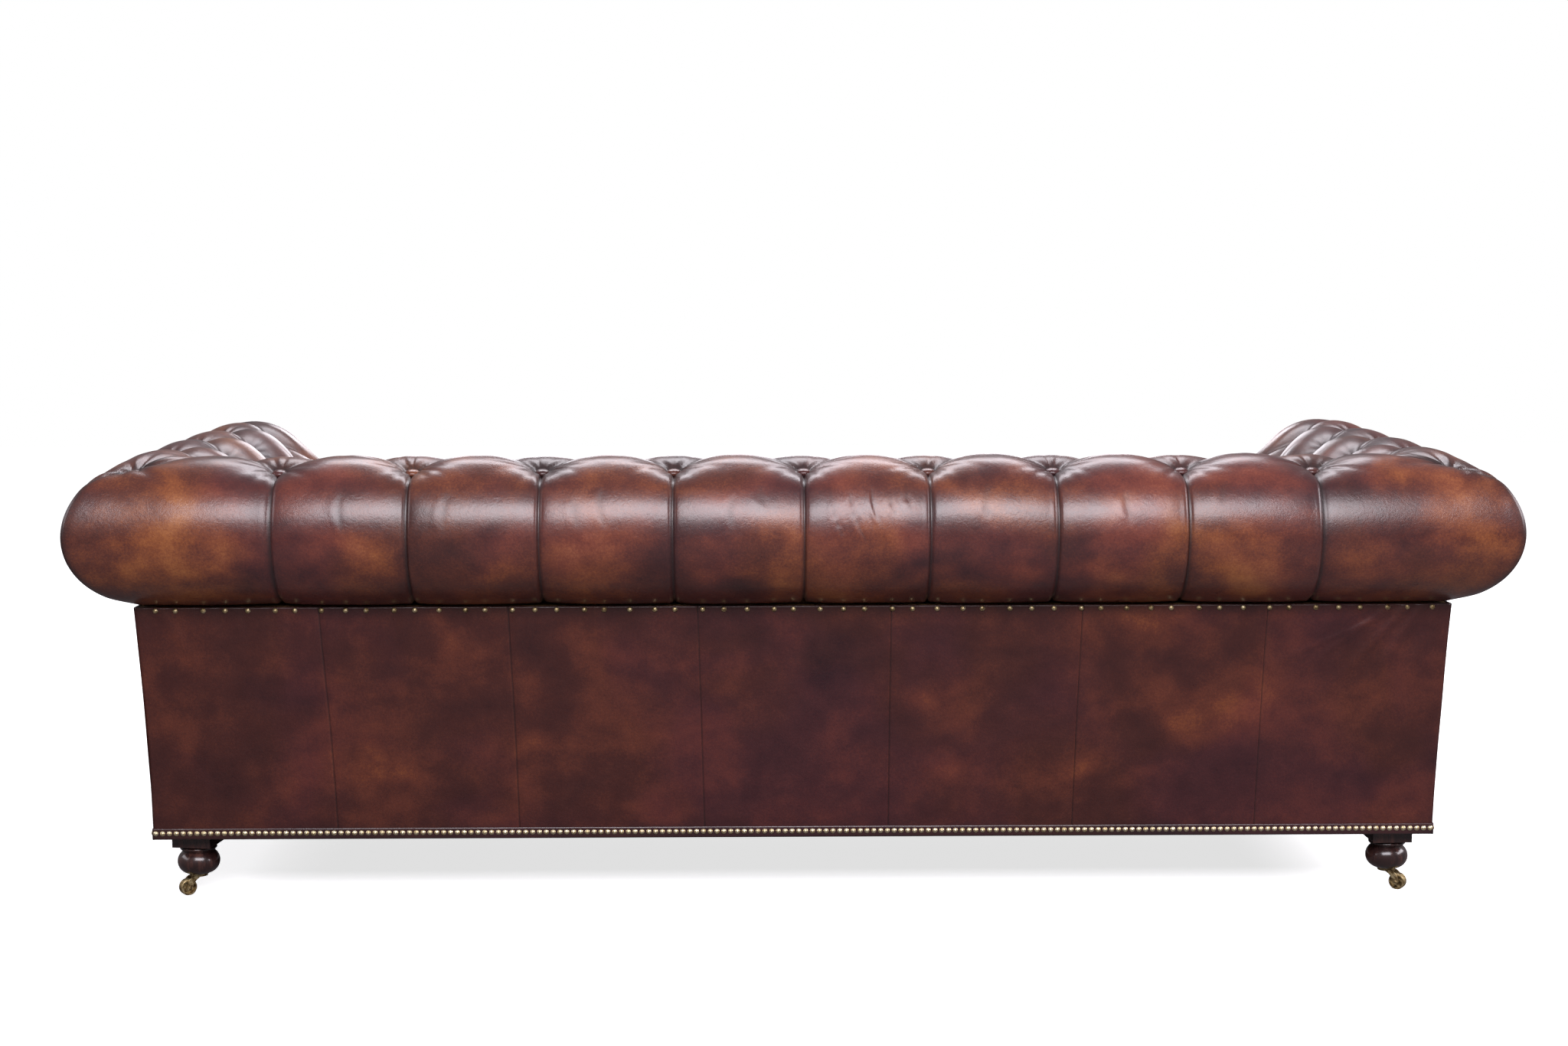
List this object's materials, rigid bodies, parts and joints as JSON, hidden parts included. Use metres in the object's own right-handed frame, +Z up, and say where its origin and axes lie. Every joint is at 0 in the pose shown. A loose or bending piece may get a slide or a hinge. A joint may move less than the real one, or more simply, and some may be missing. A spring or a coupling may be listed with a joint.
{
  "type": "chesterfield sofa",
  "caption": "Long leather sofa with rolled, deep-buttoned back and arms of one height, loose seat cushions, brass nail trim, bun feet and castors.",
  "frame": {"origin": "on the floor, under the middle of the sofa's outline", "axes": "+X along the sofa towards the sitter's left, front faces -Y, +Z up"},
  "size_m": [2.488, 0.9889, 0.7895],
  "materials": {
    "brown_leather": "hand-rubbed antique, satin gloss",
    "band_leather": "dark, satin",
    "antique_brass": "aged, satin",
    "dark_wood": "mahogany stain, polished",
    "frame_wood": "planed, matte",
    "plywood": "raw, matte",
    "padding": "foam and wadding, matte",
    "hessian": "coarse weave, matte",
    "black_cloth": "thin dust cloth, matte",
    "spring_steel": "bare wire, satin"
  },
  "bodies": {
    "sofa": {"arm_nailing_rails": "frame_wood", "arm_posts": "frame_wood", "arm_top_rails": "frame_wood", "arm_tuck_rails": "frame_wood", "back_base_rail": "frame_wood", "back_buttons": "brown_leather", "back_cover": "brown_leather", "back_nailing_rail": "frame_wood", "back_padding": "padding", "back_posts": "frame_wood", "back_top_rail": "frame_wood", "back_tuck_rail": "frame_wood", "base_band": "band_leather", "base_nails": "antique_brass", "castor_sockets": "antique_brass", "corner_blocks": "frame_wood", "dust_cover": "black_cloth", "facing_nails": "antique_brass", "front_base_rail": "frame_wood", "front_border_cover": "brown_leather", "front_left_foot": "dark_wood", "front_right_foot": "dark_wood", "inside_hessian": "hessian", "left_arm_buttons": "brown_leather", "left_arm_cover": "brown_leather", "left_arm_facing": "brown_leather", "left_arm_padding": "padding", "left_base_rail": "frame_wood", "outside_back_cover": "brown_leather", "outside_left_arm_cover": "brown_leather", "outside_right_arm_cover": "brown_leather", "rear_left_foot": "dark_wood", "rear_right_foot": "dark_wood", "right_arm_buttons": "brown_leather", "right_arm_cover": "brown_leather", "right_arm_facing": "brown_leather", "right_arm_padding": "padding", "right_base_rail": "frame_wood", "roll_formers": "plywood", "roll_nails": "antique_brass", "seat_deck_pad": "padding", "seat_springs": "spring_steel", "seat_stretchers": "frame_wood", "spring_clips": "spring_steel", "spring_cloth": "hessian"},
    "centre_cushion": {"centre_seat_cushion": "brown_leather"},
    "left_cushion": {"left_seat_cushion": "brown_leather"},
    "right_cushion": {"right_seat_cushion": "brown_leather"},
    "rear_left_castor": {"rear_left_castor_horn": "antique_brass", "rear_left_castor_axle": "antique_brass"},
    "rear_left_wheel": {"rear_left_castor_wheel": "antique_brass"},
    "rear_right_castor": {"rear_right_castor_horn": "antique_brass", "rear_right_castor_axle": "antique_brass"},
    "rear_right_wheel": {"rear_right_castor_wheel": "antique_brass"},
    "front_left_castor": {"front_left_castor_horn": "antique_brass", "front_left_castor_axle": "antique_brass"},
    "front_left_wheel": {"front_left_castor_wheel": "antique_brass"},
    "front_right_castor": {"front_right_castor_horn": "antique_brass", "front_right_castor_axle": "antique_brass"},
    "front_right_wheel": {"front_right_castor_wheel": "antique_brass"}
  },
  "joints": [
    {"name": "centre_cushion_lift", "type": "slide", "parent": "sofa", "child": "centre_cushion", "axis": [0, 0, 1], "range_m": [0, 0.48]},
    {"name": "left_cushion_lift", "type": "slide", "parent": "sofa", "child": "left_cushion", "axis": [0, 0, 1], "range_m": [0, 0.48]},
    {"name": "right_cushion_lift", "type": "slide", "parent": "sofa", "child": "right_cushion", "axis": [0, 0, 1], "range_m": [0, 0.48]},
    {"name": "rear_left_swivel", "type": "hinge", "parent": "sofa", "child": "rear_left_castor", "pos_m": [1.0641, 0.3225, 0.0356], "axis": [0, 0, 1], "continuous": true},
    {"name": "rear_left_roll", "type": "hinge", "parent": "rear_left_castor", "child": "rear_left_wheel", "pos_m": [1.08212, 0.33512, 0.0145], "axis": [-0.5736, 0.8192, 0], "continuous": true},
    {"name": "rear_right_swivel", "type": "hinge", "parent": "sofa", "child": "rear_right_castor", "pos_m": [-1.0641, 0.3225, 0.0356], "axis": [0, 0, 1], "continuous": true},
    {"name": "rear_right_roll", "type": "hinge", "parent": "rear_right_castor", "child": "rear_right_wheel", "pos_m": [-1.08212, 0.33512, 0.0145], "axis": [-0.5736, -0.8192, 0], "continuous": true},
    {"name": "front_left_swivel", "type": "hinge", "parent": "sofa", "child": "front_left_castor", "pos_m": [1.0641, -0.4325, 0.0356], "axis": [0, 0, 1], "continuous": true},
    {"name": "front_left_roll", "type": "hinge", "parent": "front_left_castor", "child": "front_left_wheel", "pos_m": [1.08477, -0.44002, 0.0145], "axis": [0.342, 0.9397, 0], "continuous": true},
    {"name": "front_right_swivel", "type": "hinge", "parent": "sofa", "child": "front_right_castor", "pos_m": [-1.0641, -0.4325, 0.0356], "axis": [0, 0, 1], "continuous": true},
    {"name": "front_right_roll", "type": "hinge", "parent": "front_right_castor", "child": "front_right_wheel", "pos_m": [-1.08477, -0.44002, 0.0145], "axis": [0.342, -0.9397, 0], "continuous": true}
  ]
}
